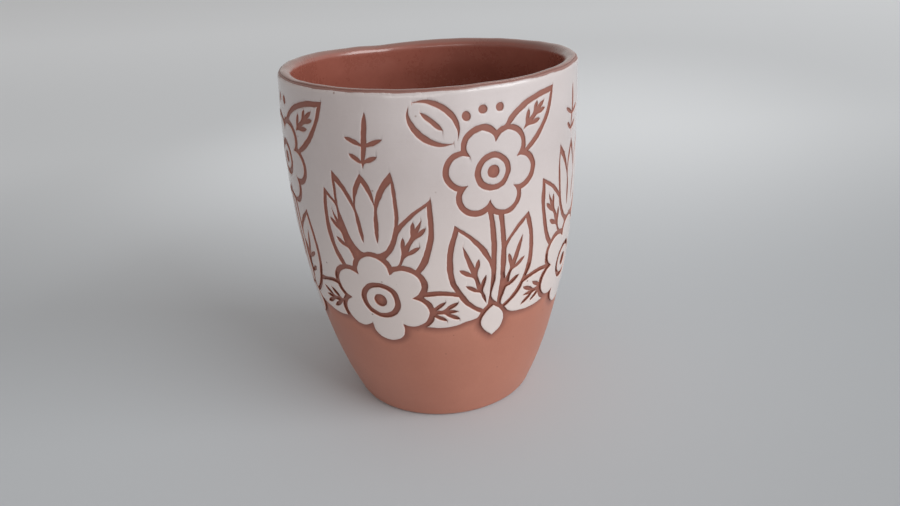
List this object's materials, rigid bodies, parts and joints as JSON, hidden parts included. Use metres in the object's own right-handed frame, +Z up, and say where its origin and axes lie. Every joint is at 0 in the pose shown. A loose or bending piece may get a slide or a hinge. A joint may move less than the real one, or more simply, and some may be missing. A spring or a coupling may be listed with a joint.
{
  "type": "cup",
  "caption": "Handleless round earthenware cup with a tapering wall, a glazed inside and a carved white slip band of flowers and leaves, for drinks.",
  "frame": {"origin": "centre of the foot, on the surface that the cup stands on", "axes": "+Z up the cup's axis to the rim, -Y towards the side that the picture shows"},
  "size_m": [0.0842, 0.0842, 0.1004],
  "materials": {
    "clay": "satin fired red clay",
    "lining": "clear gloss glaze over red clay",
    "slip": "off-white slip under a thin clear glaze"
  },
  "bodies": {
    "root": {"clay_body": "clay", "glaze_lining": "lining", "slip_blade_left_1": "slip", "slip_blade_left_2": "slip", "slip_blade_left_3": "slip", "slip_blade_left_4": "slip", "slip_blade_right_1": "slip", "slip_blade_right_2": "slip", "slip_blade_right_3": "slip", "slip_blade_right_4": "slip", "slip_bud_1": "slip", "slip_bud_2": "slip", "slip_bud_3": "slip", "slip_bud_4": "slip", "slip_ground": "slip", "slip_hem_leaf_left_1": "slip", "slip_hem_leaf_left_2": "slip", "slip_hem_leaf_left_3": "slip", "slip_hem_leaf_left_4": "slip", "slip_hem_leaf_right_1": "slip", "slip_hem_leaf_right_2": "slip", "slip_hem_leaf_right_3": "slip", "slip_hem_leaf_right_4": "slip", "slip_high_leaf_1": "slip", "slip_high_leaf_2": "slip", "slip_high_leaf_3": "slip", "slip_high_leaf_4": "slip", "slip_high_rosette_1": "slip", "slip_high_rosette_2": "slip", "slip_high_rosette_3": "slip", "slip_high_rosette_4": "slip", "slip_high_rosette_ring_1": "slip", "slip_high_rosette_ring_2": "slip", "slip_high_rosette_ring_3": "slip", "slip_high_rosette_ring_4": "slip", "slip_low_rosette_1": "slip", "slip_low_rosette_2": "slip", "slip_low_rosette_3": "slip", "slip_low_rosette_4": "slip", "slip_low_rosette_ring_1": "slip", "slip_low_rosette_ring_2": "slip", "slip_low_rosette_ring_3": "slip", "slip_low_rosette_ring_4": "slip", "slip_stem_1": "slip", "slip_stem_2": "slip", "slip_stem_3": "slip", "slip_stem_4": "slip", "slip_stem_leaf_left_1": "slip", "slip_stem_leaf_left_2": "slip", "slip_stem_leaf_left_3": "slip", "slip_stem_leaf_left_4": "slip", "slip_stem_leaf_right_1": "slip", "slip_stem_leaf_right_2": "slip", "slip_stem_leaf_right_3": "slip", "slip_stem_leaf_right_4": "slip", "slip_tulip_1": "slip", "slip_tulip_2": "slip", "slip_tulip_3": "slip", "slip_tulip_4": "slip"}
  },
  "joints": []
}
